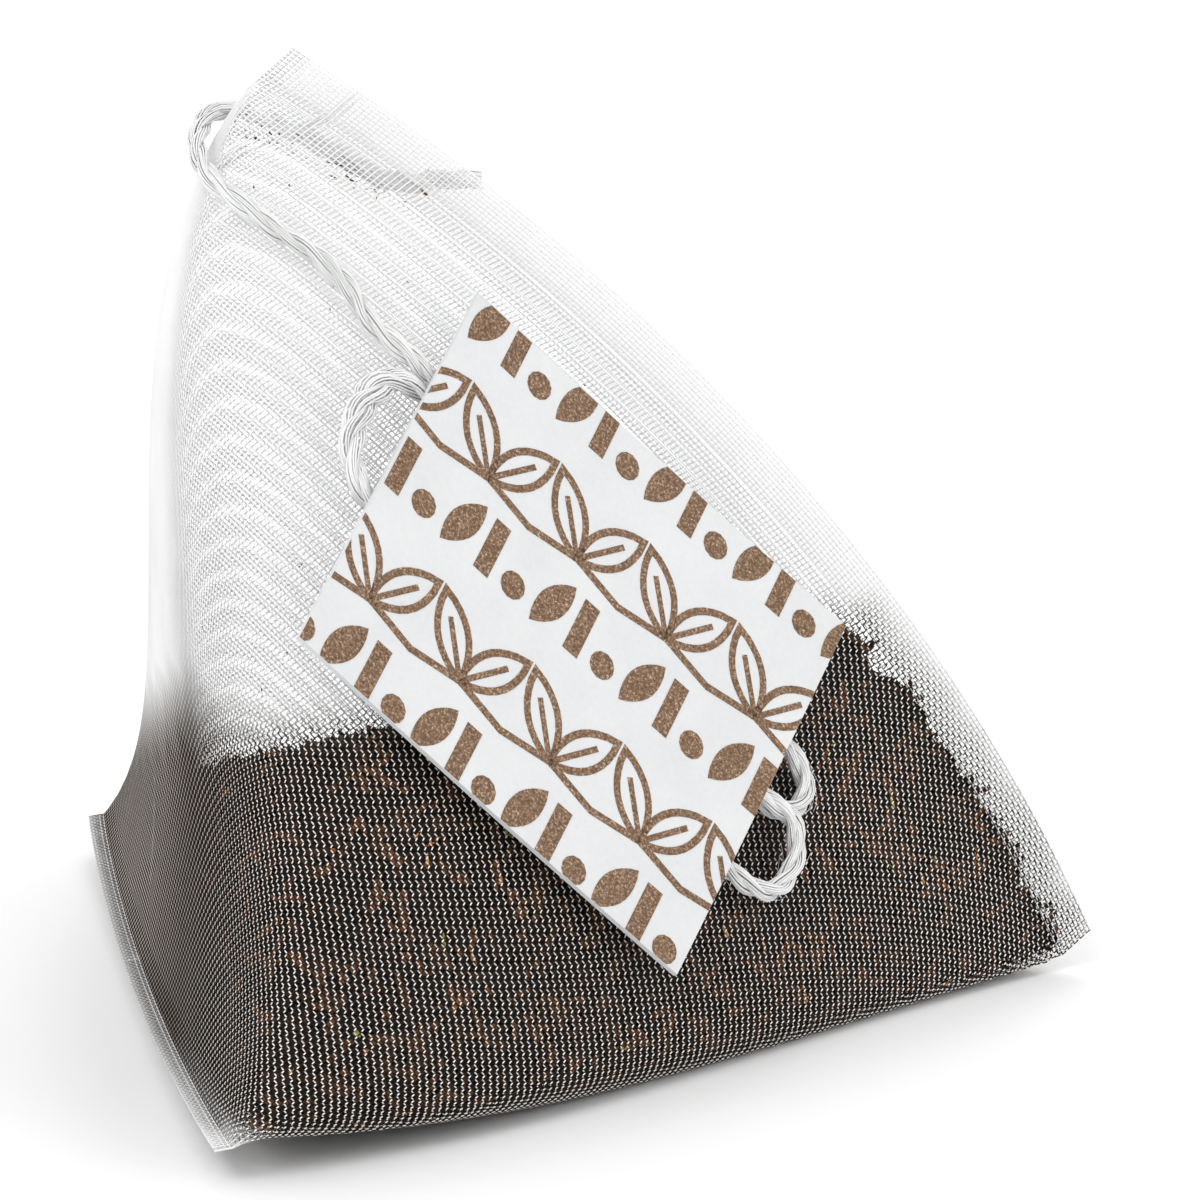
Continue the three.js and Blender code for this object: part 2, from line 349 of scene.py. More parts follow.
def threadMaterial():
    material, t = newMaterial("clear woven thread")
    # Painted highlight where a thread crosses over another and painted shade where it passes under, by its
    # crossing count
    crossing = t.add("ShaderNodeAttribute", attribute_name="crossing")
    turned = t.add("ShaderNodeMath", {0: crossing.outputs["Fac"], 1: math.pi}, operation="MULTIPLY")
    wave = t.add("ShaderNodeMath", {0: turned}, operation="SINE")
    overHighlight = t.add("ShaderNodeMapRange", {"Value": wave, "From Min": -1.0, "From Max": 1.0})
    free = ramp(t, overHighlight.outputs["Result"], [(0.3, (0.95, 0.95, 0.955)), (0.7, (0.99, 0.99, 0.99))])
    backed = ramp(t, overHighlight.outputs["Result"], [
        (0.52, (0.016, 0.009, 0.005)),
        (0.74, (0.16, 0.12, 0.09)),
        (0.86, (0.98, 0.97, 0.95)),
    ])
    backing = t.add("ShaderNodeAttribute", attribute_name="backing")
    shade = t.add("ShaderNodeMix", {0: backing.outputs["Fac"], 6: free.outputs["Color"],
                                    7: backed.outputs["Color"]}, data_type="RGBA")
    spot = t.add("ShaderNodeTexCoord")
    cloud = t.add("ShaderNodeTexNoise", {"Vector": spot.outputs["Object"], "Scale": 160.0, "Detail": 3.0})
    toned = t.add("ShaderNodeMapRange", {"Value": cloud.outputs["Fac"], "To Min": 0.88, "To Max": 1.06})
    # Painted brown shade at the steep left end, for the tea seen through the clear threads there
    seenThroughShade = t.add("ShaderNodeAttribute", attribute_name="teaSeenThroughShade")
    seenThroughShare = t.add("ShaderNodeMath", {0: seenThroughShade.outputs["Fac"], 1: 0.5}, operation="MULTIPLY")
    seenThroughShaded = t.add("ShaderNodeMix", {0: seenThroughShare, 6: shade.outputs[2], 7: (0.07, 0.043, 0.025, 1)},
                    data_type="RGBA")
    colour = t.add("ShaderNodeVectorMath", {0: seenThroughShaded.outputs[2], "Scale": toned.outputs["Result"]},
                   operation="SCALE")
    gloss = t.add("ShaderNodeMapRange", {"Value": wave, "From Min": -1.0, "To Min": 0.6, "To Max": 0.3})
    shader = t.add("ShaderNodeBsdfPrincipled", {
        "Base Color": colour.outputs["Vector"], "Roughness": gloss.outputs["Result"], "IOR": 1.25,
    })
    finishMaterial(t, shader)
    return material


# 1 at the steep left end of the bag, where the tea seen through the clear threads is painted in farther and
# as darker brown shade, and 0 away from it
def leftEndShare(line):
    end = weave["leftEnd"]
    along = np.clip((end["fromX"] - line[:, 0]) / end["overX"], 0, 1)
    return along * np.clip((line[:, 1] - end["fromY"]) / end["overY"], 0, 1)


# How much of the dark tea shows through a clear thread at each of its points
def teaBacking(line, outward=None):
    gaps = np.array([heapSkin.find_nearest(Vector(p))[3] for p in line])
    reach = weave["teaReach"] + weave["leftTeaReach"] * leftEndShare(line)
    fade = weave["teaReach"] + weave["leftTeaFade"] * leftEndShare(line)
    near = 1 - np.clip((gaps - reach) / fade, 0, 1)
    if outward is None:
        return near
    for i, (point, normal) in enumerate(zip(line, outward)):
        inward = Vector((-normal[0], -normal[1], 0))
        if inward.length > 0.3:
            depth = heapSkin.ray_cast(Vector(point), inward.normalized(), weave["teaDepth"])[3]
            near[i] = near[i] if depth is None else max(near[i], 1 - (depth / weave["teaDepth"]) ** 3)
    return near


def makeWeave(material):
    rounds = np.arange(weave["lengthwiseThreads"]) * girth / weave["lengthwiseThreads"]
    ts = np.concatenate([[topT], np.linspace(0, 1, weave["lengthwiseSteps"]), [lowT]])
    grid, normals = skinGrid(ts, rounds)
    grid = grid + normals * weave["between"]
    lines, crossings, backings = [], [], []
    for j in range(len(rounds)):
        lines.append(grid[:, j])
        crossings.append(ts * weave["roundThreads"] + j)
        share = np.where(ts > 1, weave["flangeBacking"], 1)
        backings.append(teaBacking(grid[:, j], normals[:, j]) * share)
    around = np.linspace(0, girth, weave["roundSteps"] + 1)
    first = math.ceil(topT * weave["roundThreads"])
    last = math.floor(lowT * weave["roundThreads"])
    for k in range(first, last + 1):
        line, outward = skinGrid([k / weave["roundThreads"] - 1e-3, k / weave["roundThreads"]], around)
        lines.append(line[1] - outward[1] * weave["between"])
        crossings.append(around / girth * weave["lengthwiseThreads"] + k + 1)
        share = weave["flangeBacking"] if k > weave["roundThreads"] else 1
        backings.append(teaBacking(lines[-1], outward[1]) * share)
    # painted shade of the tea seen through the threads at the steep left end
    seenThroughShade = [leftEndShare(line) * backing for line, backing in zip(lines, backings)]
    piece = spunPiece("mesh_bag_weave", lines, weave["threadRadius"], 3, material,
                      {"crossing": crossings, "backing": backings, "teaSeenThroughShade": seenThroughShade})
    place(piece, "mesh", "mesh_bag")
    return piece


def makeSeams(material):
    lines, widths, crossings = [], [], []
    ts = np.concatenate([[topT], np.linspace(0, 1, 90), [lowT]])
    for i in range(4):  # the lap, a narrow band of doubled threads
        wander = np.array([0.1 * math.sin(9 * t + 2 * i) + 0.06 * math.sin(31 * t + i) for t in ts])
        points = np.array([ring(t, [weave["seamAt"] + 0.16 * i + w])[0] for t, w in zip(ts, wander)])
        lines.append(points)
        widths.append(np.full(len(ts), 1.1))
        crossings.append(ts * weave["roundThreads"] + i)
    for t in (-0.004, 0.004, 1.002, 1.01):  # weld lines of the two seals
        around = np.linspace(0, girth, 261)
        lines.append(ring(t, around))
        widths.append(np.full(len(around), 1.0))
        crossings.append(around / girth * weave["lengthwiseThreads"])
    backings = [weave["lapBacking"] * teaBacking(line) for line in lines[:-2]]
    backings += [weave["flangeBacking"] * teaBacking(line) for line in lines[-2:]]
    piece = spunPiece("mesh_bag_seams", lines, weave["threadRadius"], 4, material,
                      {"crossing": crossings, "width": widths, "backing": backings})
    place(piece, "mesh")
    return piece


# Where the tag lies
tag = {
    "width": 27.6,
    "height": 24.9,
    "thickness": 0.3,
    "along": -2.2,
    "down": 14.1,
    "standOff": 5,
    "turn": 6,  # degrees
    "tilt": -2,
    "curl": 0.35,
    "steps": 36,
}


def tagAxes():
    nearCorner = np.array([0, -halfSeal, 0])
    outwards = np.cross(nearCorner - topCorner, alongUpper)
    outwards /= np.linalg.norm(outwards)
    down = np.cross(alongUpper, outwards)
    middle = upperMiddle + toFrame + alongUpper * tag["along"] + down * tag["down"]
    middle = middle + outwards * tag["standOff"]
    x, y, z = alongUpper, -down, outwards
    tilt, turn = math.radians(tag["tilt"]), math.radians(tag["turn"])
    y, z = y * math.cos(tilt) + z * math.sin(tilt), z * math.cos(tilt) - y * math.sin(tilt)
    x, y = x * math.cos(turn) + y * math.sin(turn), y * math.cos(turn) - x * math.sin(turn)
    return middle, x, y, z


tagMiddle, tagX, tagY, tagZ = tagAxes()


def onTag(along, down, height):
    return tagMiddle + tagX * along - tagY * down + tagZ * height


# Thread: the free stretch in the part's frame, then the folded runs in the tag's
thread = {
    "diameter": 1.05,
    "step": 0.45,
    "plies": 3,
    "filamentsPerPly": 12,
    "plyRadius": 0.27,
    "bundleRadius": 0.23,
    "filamentRadius": 0.065,
    "plyTwist": 5.6,  # length of one turn
    "bundleTwist": -14,
    "hairs": 320,
    "hairWidth": 0.16,
    "loopSpread": 0.75,  # how much wider the left loop fans out, within loopReach of its middle
    "loopReach": 3.6,
    "waist": 0.14,  # how much thinner the pulled stretch is, waistAt along the thread
    "waistAt": 29,
    "waistReach": 7,
}
threadRoute = [
    (-6.9, 1.15, 44.35), (-7.8, 1.2, 44.4), (-9.2, 1.2, 44.4), (-10.7, 1.7, 44.2), (-12.2, 2.3, 44.4),
    (-13.8, 2.5, 45.3), (-15.5, 2.7, 46.3), (-17.3, 3.0, 47.2), (-19.2, 3.1, 48.0), (-20.8, 2.3, 48.2),
    (-21.8, 0.6, 47.7), (-22.2, -1.6, 46.9), (-21.9, -3.6, 46.0), (-20.9, -4.9, 45.1), (-19.6, -5.6, 44.2),
    (-18.4, -6.0, 43.3), (-17.1, -6.2, 42.5), (-15.9, -6.5, 41.5), (-14.9, -7.1, 40.3), (-14.1, -7.7, 39.0),
    (-13.1, -8.2, 38.0), (-12.0, -8.6, 37.1),
]
hankRoute = [  # along the tag, down it, and out from its front
    (-14.0, -6.9, -1.2), (-9, -6.4, -1.2), (-3, -6.0, -1.2), (4, -5.4, -1.2), (10, -4.9, -1.2),
    (14.2, -4.7, -1.3), (16.2, -4.1, -1.5), (16.75, -2.9, -1.6), (16.2, -1.7, -1.7), (14.2, -1.1, -1.8),
    (9, -1.6, -1.5), (3, -2.8, -1.3), (-4, -4.3, -1.3), (-10, -5.5, -1.3), (-13.4, -5.9, -1.3),
    (-15.4, -5.0, -1.2), (-16.1, -3.2, -1.2), (-16.0, -1.0, -1.2), (-15.2, 0.7, -1.2), (-13.4, 1.8, -1.2),
    (-9, 2.4, -1.2), (-2, 2.9, -1.2), (6, 3.5, -1.2), (12, 4.0, -1.2), (15.2, 4.1, -1.3),
    (17.2, 3.3, -1.5), (17.9, 1.6, -1.6), (17.6, 0.0, -1.4), (16.3, -1.0, -1.0), (14.2, -0.7, -0.85),
    (11, 0.2, -0.85), (5, 0.8, -0.85), (0, 0.6, -0.85), (-6, 0.2, -0.85),
]


# A Catmull-Rom line through the points, with points a step apart
def smoothLine(points, step):
    p = np.asarray(points, float)
    p = np.concatenate([[2 * p[0] - p[1]], p, [2 * p[-1] - p[-2]]])
    fine = []
    for i in range(1, len(p) - 2):
        for s in np.arange(0, 1, 0.05):
            a = 2 * p[i]
            b = p[i + 1] - p[i - 1]
            c = 2 * p[i - 1] - 5 * p[i] + 4 * p[i + 1] - p[i + 2]
            d = -p[i - 1] + 3 * p[i] - 3 * p[i + 1] + p[i + 2]
            fine.append((a + b * s + c * s * s + d * s**3) / 2)
    fine.append(p[-2])
    fine = np.array(fine)
    walked = np.concatenate([[0], np.cumsum(np.linalg.norm(np.diff(fine, axis=0), axis=1))])
    at = np.linspace(0, walked[-1], int(walked[-1] / step) + 1)
    return np.stack([np.interp(at, walked, fine[:, k]) for k in range(3)], 1), at


# Two axes square to the line, carried along it without twist
def carriedAxes(line):
    tangents = np.gradient(line, axis=0)
    tangents /= np.linalg.norm(tangents, axis=1, keepdims=True)
    first = np.zeros_like(line)
    first[0] = np.cross(tangents[0], (0, 0, 1))
    for i in range(len(line)):
        before = first[max(i - 1, 0)]
        first[i] = before - tangents[i] * before.dot(tangents[i])
        first[i] /= np.linalg.norm(first[i])
    return first, np.cross(tangents, first)


def makeThread(material):
    hank = [onTag(*p) for p in hankRoute]
    line, walked = smoothLine(list(threadRoute) + hank, thread["step"])
    first, second = carriedAxes(line)
    random = np.random.default_rng(4)
    loop = onTag(-16, -2.5, -1.2)
    fromLoop = np.linalg.norm(line - loop, axis=1) / thread["loopReach"]
    fromWaist = (walked - thread["waistAt"]) / thread["waistReach"]
    spread = 1 + thread["loopSpread"] * np.exp(-(fromLoop**2)) - thread["waist"] * np.exp(-(fromWaist**2))
    lines, shades = [], []

    def offset(radius, phase, radius2, phase2):
        across = radius * np.cos(phase) + radius2 * np.cos(phase2)
        up = radius * np.sin(phase) + radius2 * np.sin(phase2)
        moved = first * across[:, None] + second * up[:, None]
        normal = (moved @ tagZ)[:, None] * tagZ
        return line + (moved - normal) * spread[:, None] + normal / spread[:, None]

    for ply in range(thread["plies"]):
        phase = 2 * math.pi * (walked / thread["plyTwist"] + ply / thread["plies"])
        for f in range(thread["filamentsPerPly"]):
            wave = np.sin(walked * random.uniform(0.4, 1.6) + 9 * random.random())
            reach = thread["bundleRadius"] * (1 + 0.12 * wave)
            turn = 2 * math.pi * (walked / thread["bundleTwist"] + f / thread["filamentsPerPly"])
            lines.append(offset(thread["plyRadius"], phase, reach, turn + 0.3 * random.random()))
            shades.append(np.full(len(line), random.random()))
    widths = [np.ones(len(line)) for _ in lines]
    for _ in range(thread["hairs"]):  # loose fibres that stand off the thread
        start = random.integers(0, len(line) - 12)
        count = int(random.integers(4, 10))
        side = random.uniform(0, 2 * math.pi)
        rise = np.linspace(0, 1, count) ** 1.5 * random.uniform(0.15, 0.5)
        hair = []
        for i in range(count):
            k = start + i
            out = first[k] * math.cos(side + i * 0.25) + second[k] * math.sin(side + i * 0.25)
            hair.append(line[k] + out * (0.42 + rise[i]))
        lines.append(np.array(hair))
        widths.append(np.full(count, thread["hairWidth"]))
        shades.append(np.full(count, 0.8))
    piece = spunPiece("string_thread", lines, thread["filamentRadius"], 3, material,
                      {"width": widths, "shade": shades})
    place(piece, "thread", "string", "string_hank")
    print("thread length", round(float(walked[-1]), 1), "mm")
    return piece, line * mm, walked[-1] * mm


def threadFibreMaterial():
    material, t = newMaterial("soft white thread")
    shade = t.add("ShaderNodeAttribute", attribute_name="shade")
    spot = t.add("ShaderNodeTexCoord")
    fibre = t.add("ShaderNodeTexNoise", {"Vector": spot.outputs["Object"], "Scale": 2600.0, "Detail": 4.0})
    mixed = t.add("ShaderNodeMath", {0: shade.outputs["Fac"], 1: fibre.outputs["Fac"]}, operation="ADD")
    colour = ramp(t, t.add("ShaderNodeMath", {0: mixed, 1: 0.5}, operation="MULTIPLY"), [
        (0.2, (0.8, 0.8, 0.79)), (0.5, (0.87, 0.87, 0.87)), (0.85, (0.93, 0.93, 0.93)),
    ])
    bump = t.add("ShaderNodeBump", {"Height": fibre.outputs["Fac"], "Strength": 0.4, "Distance": 0.00003})
    shader = t.add("ShaderNodeBsdfPrincipled", {
        "Base Color": colour.outputs["Color"], "Roughness": 0.7, "Normal": bump,
        "Sheen Weight": 0.25, "Sheen Roughness": 0.4,
    })
    finishMaterial(t, shader)
    return material


threadWhite = threadFibreMaterial()
stringThread, threadPath, threadLength = makeThread(threadWhite)
print("thread made")

# Tea
tea = {
    "riseX": 0.19,
    "riseY": -0.30,
    "inset": 0.2,
    "leavesPerSquareCentimetre": 165,
    "stemsPerSquareCentimetre": 4.4,
    "bitsPerSquareCentimetre": 2.4,
    "leafLength": 2.1,
}
heapForm = {
    "voxel": 0.75,
    "lump": 0.3,
    "puff": 0.45,  # outwards all over, up to the mesh
    "notch": 3.4,  # bites along the edge where the heap thins towards the upper seal
    "notchFrom": 6,  # along X, growing over the next 8
    "notchOver": 8,
    "spread": 2.3,  # how far that edge reaches out
    "settle": 1.3,  # how far the top sinks, to leave room for the leaves on it
    "inset": 0.45,
}


# A curled flake of leaf: closed, with length, width, thickness, bend and twist
def leafShape(name, length, width, thickness, bend, twist, seed):
    random = np.random.default_rng(seed)
    rows = 5
    points, faces = [], []
    for i in range(rows):
        s = i / (rows - 1) - 0.5
        half = width / 2 * max(0.22, (1 - (2 * s) ** 2) ** 0.5) * random.uniform(0.7, 1.2)
        angle = twist * s
        lift = bend * (s * s) * length + random.uniform(-0.06, 0.06) * length
        for side, top in ((-1, 1), (1, 1), (1, -1), (-1, -1)):
            y = side * half + random.uniform(-0.08, 0.08) * width
            z = top * thickness / 2
            points.append((
                s * length + random.uniform(-0.03, 0.03) * length,
                y * math.cos(angle) - z * math.sin(angle),
                y * math.sin(angle) + z * math.cos(angle) + lift,
            ))
    for i in range(rows - 1):
        for k in range(4):
            n = (k + 1) % 4
            faces.append((4 * i + k, 4 * i + n, 4 * i + 4 + n, 4 * i + 4 + k))
    faces += [(3, 2, 1, 0), (4 * rows - 4, 4 * rows - 3, 4 * rows - 2, 4 * rows - 1)]
    mesh = meshFrom(name, points, faces=faces)
    box = bmesh.new()
    box.from_mesh(mesh)
    bmesh.ops.recalc_face_normals(box, faces=box.faces)
    box.to_mesh(mesh)
    box.free()
    return bpy.data.objects.new(name, mesh)


def shapeSet(name, kinds):
    made = bpy.data.collections.new(name)
    for i, kind in enumerate(kinds):
        made.objects.link(leafShape(f"{name}{i}", *kind, seed=i + 11))
    return made


def scatterTree():
    t = geometryTree("scatterFlakes", [
        ("Density", "NodeSocketFloat", 1e6),
        ("Seed", "NodeSocketInt", 1),
        ("Least Size", "NodeSocketFloat", 0.7),
        ("Greatest Size", "NodeSocketFloat", 1.2),
        ("Tilt", "NodeSocketFloat", 0.5),
        ("Flakes", "NodeSocketCollection", None),
        ("Material", "NodeSocketMaterial", None),
    ])
    given = t.add("NodeGroupInput").outputs
    spots = t.add("GeometryNodeDistributePointsOnFaces", {
        "Mesh": given["Geometry"], "Density": given["Density"], "Seed": given["Seed"],
    })
    low = t.add("ShaderNodeMath", {0: given["Tilt"], 1: -1.0}, operation="MULTIPLY")
    leanX = t.add("FunctionNodeRandomValue", data_type="FLOAT")
    t.plug(low, leanX.inputs[2])
    t.plug(given["Tilt"], leanX.inputs[3])
    t.plug(given["Seed"], leanX.inputs["Seed"])
    leanY = t.add("FunctionNodeRandomValue", data_type="FLOAT")
    t.plug(low, leanY.inputs[2])
    t.plug(given["Tilt"], leanY.inputs[3])
    leanY.inputs["Seed"].default_value = 31
    spinning = t.add("FunctionNodeRandomValue", data_type="FLOAT")
    spinning.inputs[2].default_value = 0.0
    spinning.inputs[3].default_value = 2 * math.pi
    spinning.inputs["Seed"].default_value = 7
    angles = t.add("ShaderNodeCombineXYZ", {
        "X": leanX.outputs[1], "Y": leanY.outputs[1], "Z": spinning.outputs[1],
    })
    turned = t.add("FunctionNodeEulerToRotation", {0: angles})
    facing = t.add("FunctionNodeRotateRotation", {
        "Rotation": spots.outputs["Rotation"], "Rotate By": turned,
    }, rotation_space="LOCAL")
    size = t.add("FunctionNodeRandomValue", data_type="FLOAT")
    t.plug(given["Least Size"], size.inputs[2])
    t.plug(given["Greatest Size"], size.inputs[3])
    size.inputs["Seed"].default_value = 5
    flakes = t.add("GeometryNodeCollectionInfo", {
        "Collection": given["Flakes"], "Separate Children": True, "Reset Children": True,
    })
    sown = t.add("GeometryNodeInstanceOnPoints", {
        "Points": spots.outputs["Points"], "Instance": flakes, "Pick Instance": True,
        "Rotation": facing, "Scale": size.outputs[1],
    })
    tone = t.add("FunctionNodeRandomValue", data_type="FLOAT")
    tone.inputs["Seed"].default_value = 9
    kept = t.add("GeometryNodeStoreNamedAttribute", {"Geometry": sown, "Name": "shade"},
                 data_type="FLOAT", domain="INSTANCE")
    t.plug(tone.outputs[1], kept.inputs["Value"])
    real = t.add("GeometryNodeRealizeInstances", {"Geometry": kept})
    dyed = t.add("GeometryNodeSetMaterial", {"Geometry": real, "Material": given["Material"]})
    t.add("NodeGroupOutput", {"Geometry": dyed})
    return t.tree


def leafMaterial(name, stops, roughness):
    material, t = newMaterial(name)
    shade = t.add("ShaderNodeAttribute", attribute_name="shade")
    spot = t.add("ShaderNodeTexCoord")
    grain = t.add("ShaderNodeTexNoise", {"Vector": spot.outputs["Object"], "Scale": 1500.0, "Detail": 5.0})
    offset = t.add("ShaderNodeMath", {0: grain.outputs["Fac"], 1: 0.5}, operation="SUBTRACT")
    mixed = t.add("ShaderNodeMath", {0: shade.outputs["Fac"], 1: offset}, operation="ADD")
    colour = ramp(t, mixed, stops)
    bump = t.add("ShaderNodeBump", {"Height": grain.outputs["Fac"], "Strength": 0.8, "Distance": 0.0001})
    shader = t.add("ShaderNodeBsdfPrincipled", {
        "Base Color": colour.outputs["Color"], "Roughness": roughness, "Normal": bump, "IOR": 1.3,
    })
    finishMaterial(t, shader)
    return material


teaUp = Vector((-tea["riseX"], -tea["riseY"], 1)).normalized()


# The heap's outer shape, from its CAD solid, merged and made even
def teaHeap():
    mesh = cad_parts["tea_leaves"].data.copy()
    mesh.materials.clear()
    form = bmesh.new()
    form.from_mesh(mesh)
    bmesh.ops.remove_doubles(form, verts=form.verts, dist=1e-6)
    form.to_mesh(mesh)
    form.free()
    heap = linkObject("tea_heap", mesh)
    remesh = heap.modifiers.new("even", "REMESH")
    remesh.mode = "VOXEL"
    remesh.voxel_size = heapForm["voxel"] * mm
    shown = heap.evaluated_get(bpy.context.evaluated_depsgraph_get())
    result = bpy.data.meshes.new_from_object(shown)
    heap.modifiers.remove(remesh)
    heap.data = result
    heap.data.name = "tea_heap"
    for vertex in result.vertices:
        here = vertex.co.copy()
        lump = noise.noise(here * 900) + 0.5 * noise.noise(here * 2100)
        notch = max(0, noise.noise(here * 430 + Vector((3, 1, 7))) - 0.02)
        edge = min(1, max(0, (here.x / mm - heapForm["notchFrom"]) / heapForm["notchOver"]))
        top = max(0, vertex.normal.dot(teaUp) - 0.6) / 0.4
        outwards = heapForm["lump"] * lump + heapForm["puff"] - heapForm["notch"] * notch * edge
        vertex.co = here + vertex.normal * outwards * mm
        vertex.co.x += heapForm["spread"] * edge * mm
        vertex.co -= teaUp * heapForm["settle"] * top * mm
    points = keepInside([v.co / mm for v in result.vertices], heapForm["inset"])
    for vertex, point in zip(result.vertices, points):
        vertex.co = point * mm
    return heap


def addOn(name, heap, density, seed, sizes, tilt, shapes, material):
    piece = linkObject(name, heap.data.copy())
    applyTree(piece, scatter, {
        "Density": density * 1e4, "Seed": seed, "Least Size": sizes[0], "Greatest Size": sizes[1],
        "Tilt": tilt, "Flakes": shapes, "Material": material,
    })
    points = np.zeros(len(piece.data.vertices) * 3)
    piece.data.vertices.foreach_get("co", points)
    kept = keepInside(points.reshape(-1, 3) / mm, tea["inset"])
    piece.data.vertices.foreach_set("co", (np.array([list(p) for p in kept]) * mm).ravel())
    piece.data.update()
    place(piece, "tea")
    return piece


dust = {
    "count": 260,
    "size": (0.08, 0.32),
    "alongThread": 0.35,  # the share that has gathered where the thread lies behind the mesh
}


# Small specks of tea that cling to the inside of the mesh above the heap
def addDust(material):
    random = np.random.default_rng(21)
    points, faces = [], []
    behind = np.array(threadPath[:40]) / mm
    for i in range(dust["count"]):
        if i < dust["count"] * dust["alongThread"]:
            near = behind[random.integers(6, len(behind))] + random.normal(0, 0.5, 3)
            spot, normal, _, _ = skin.find_nearest(Vector(near))
        else:
            t = random.uniform(0.02, 0.9)
            spot = Vector(ring(t, [random.uniform(0, girth)])[0])
            spot, normal, _, _ = skin.find_nearest(spot)
        if (spot - bagMiddle).dot(normal) < 0:
            normal = -normal
        middle = spot - normal * 0.14
        size = random.uniform(*dust["size"]) * random.uniform(0.6, 1)
        side = normal.orthogonal().normalized()
        other = normal.cross(side)
        turn = random.uniform(0, math.pi)
        along = side * math.cos(turn) + other * math.sin(turn)
        across = normal.cross(along)
        first = len(points)
        long = size * random.uniform(0.8, 2.2)
        for a, b, c in ((1, 0, 0), (-1, 0, 0), (0, 1, 0), (0, -1, 0), (0, 0, 1), (0, 0, -1)):
            reach = random.uniform(0.7, 1.2)
            arm = along * a * long + across * b * size * 0.5 + normal * c * 0.07
            points.append(middle + arm * reach / 1.6)
        for a in (0, 1):
            for b in (2, 3):
                for c in (4, 5):
                    face = (first + a, first + b, first + c)
                    faces.append(face if (a + b + c) % 2 else face[::-1])
    mesh = meshFrom("tea_dust", [list(p) for p in points], faces=faces)
    form = bmesh.new()
    form.from_mesh(mesh)
    bmesh.ops.recalc_face_normals(form, faces=form.faces)
    form.to_mesh(mesh)
    form.free()
    floatAttribute(mesh, "shade", np.repeat(random.random(dust["count"]), 6))
    mesh.materials.append(material)
    piece = linkObject("tea_dust", mesh)
    place(piece, "tea")
    return piece


scatter = scatterTree()
heap = teaHeap()
heapFaces = [p.vertices for p in heap.data.polygons]
heapSkin = BVHTree.FromPolygons([v.co / mm for v in heap.data.vertices], heapFaces)
darkTea = leafMaterial("dark curled leaf", [
    (0.0, (0.006, 0.0035, 0.0025)), (0.4, (0.018, 0.01, 0.006)), (0.7, (0.07, 0.031, 0.014)),
    (1.0, (0.2, 0.078, 0.027)),
], 0.62)
stemTea = leafMaterial("orange stem", [(0.1, (0.24, 0.075, 0.016)), (0.6, (0.62, 0.2, 0.04)),
                                       (1.0, (0.85, 0.48, 0.18))], 0.6)
bitTea = leafMaterial("yellow green bit", [(0.1, (0.2, 0.16, 0.03)), (0.6, (0.5, 0.45, 0.1)),
                                           (1.0, (0.72, 0.66, 0.3))], 0.6)
heap.data.materials.append(darkTea)
floatAttribute(heap.data, "shade", np.full(len(heap.data.vertices), 0.1))
smooth(heap)
place(heap, "tea", "tea_leaves")
length = tea["leafLength"]
leafKinds = shapeSet("leaf", [
    (length, 0.8, 0.22, 0.5, 1.6),
    (length * 0.8, 0.62, 0.26, -0.6, 2.6),
    (length * 0.6, 0.7, 0.2, 0.5, -1.2),
    (length * 1.2, 0.5, 0.28, 0.3, 3.4),
    (length * 0.5, 0.55, 0.3, -0.4, 0.8),
    (length * 0.9, 0.9, 0.16, 0.8, -2.0),
])
stemKinds = shapeSet("stem", [
    (2.6, 0.3, 0.24, 0.1, 0.4),
    (1.9, 0.24, 0.2, -0.15, 0.9),
    (1.3, 0.3, 0.2, 0.1, -0.6),
])
bitKinds = shapeSet("bit", [
    (0.8, 0.36, 0.14, 0.3, 0.8),
    (0.55, 0.4, 0.12, -0.3, -0.6),
    (1.1, 0.22, 0.12, 0.2, 0.5),
])
teaLeaves = addOn("tea_leaf_flakes", heap, tea["leavesPerSquareCentimetre"], 3, (0.55, 1.25), 0.55,
                  leafKinds, darkTea)
addOn("tea_stems", heap, tea["stemsPerSquareCentimetre"], 8, (0.5, 1.1), 0.25, stemKinds, stemTea)
dustTea = leafMaterial("brown tea dust", [(0.1, (0.02, 0.012, 0.007)), (0.6, (0.12, 0.055, 0.022)),
                                          (1.0, (0.3, 0.2, 0.07))], 0.7)
addDust(dustTea)
addOn("tea_pale_bits", heap, tea["bitsPerSquareCentimetre"], 14, (0.5, 1.1), 0.3, bitKinds, bitTea)
print("tea heaped:", len(teaLeaves.data.polygons), "leaf faces")

clearThread = threadMaterial()
bagWeave = makeWeave(clearThread)
bagSeams = makeSeams(clearThread)
print("mesh woven")


# Tag
# How far the paper stands out from flat, with the upper right and lower left corners raised
def curlHeight(along, up):
    a, b = along / (tag["width"] / 2), up / (tag["height"] / 2)
    return tag["curl"] * (0.5 * a * a - 0.3 * b * b + 0.25 * a * b) - 0.1


def paperMaterial():
    material, t = newMaterial("uncoated paper")
    spot = t.add("ShaderNodeTexCoord")
    fibre = t.add("ShaderNodeTexNoise", {"Vector": spot.outputs["Object"], "Scale": 3200.0, "Detail": 6.0,
                                         "Roughness": 0.7})
    cloud = t.add("ShaderNodeTexNoise", {"Vector": spot.outputs["Object"], "Scale": 260.0, "Detail": 3.0})
    mixed = t.add("ShaderNodeMath", {0: fibre.outputs["Fac"], 1: cloud.outputs["Fac"]}, operation="ADD")
    colour = ramp(t, t.add("ShaderNodeMath", {0: mixed, 1: 0.5}, operation="MULTIPLY"), [
        (0.3, (0.62, 0.625, 0.635)), (0.5, (0.665, 0.67, 0.675)), (0.7, (0.705, 0.71, 0.715)),
    ])
    bump = t.add("ShaderNodeBump", {"Height": fibre.outputs["Fac"], "Strength": 0.35, "Distance": 0.00004})
    shader = t.add("ShaderNodeBsdfPrincipled", {
        "Base Color": colour.outputs["Color"], "Roughness": 0.85, "Normal": bump,
    })
    finishMaterial(t, shader)
    return material


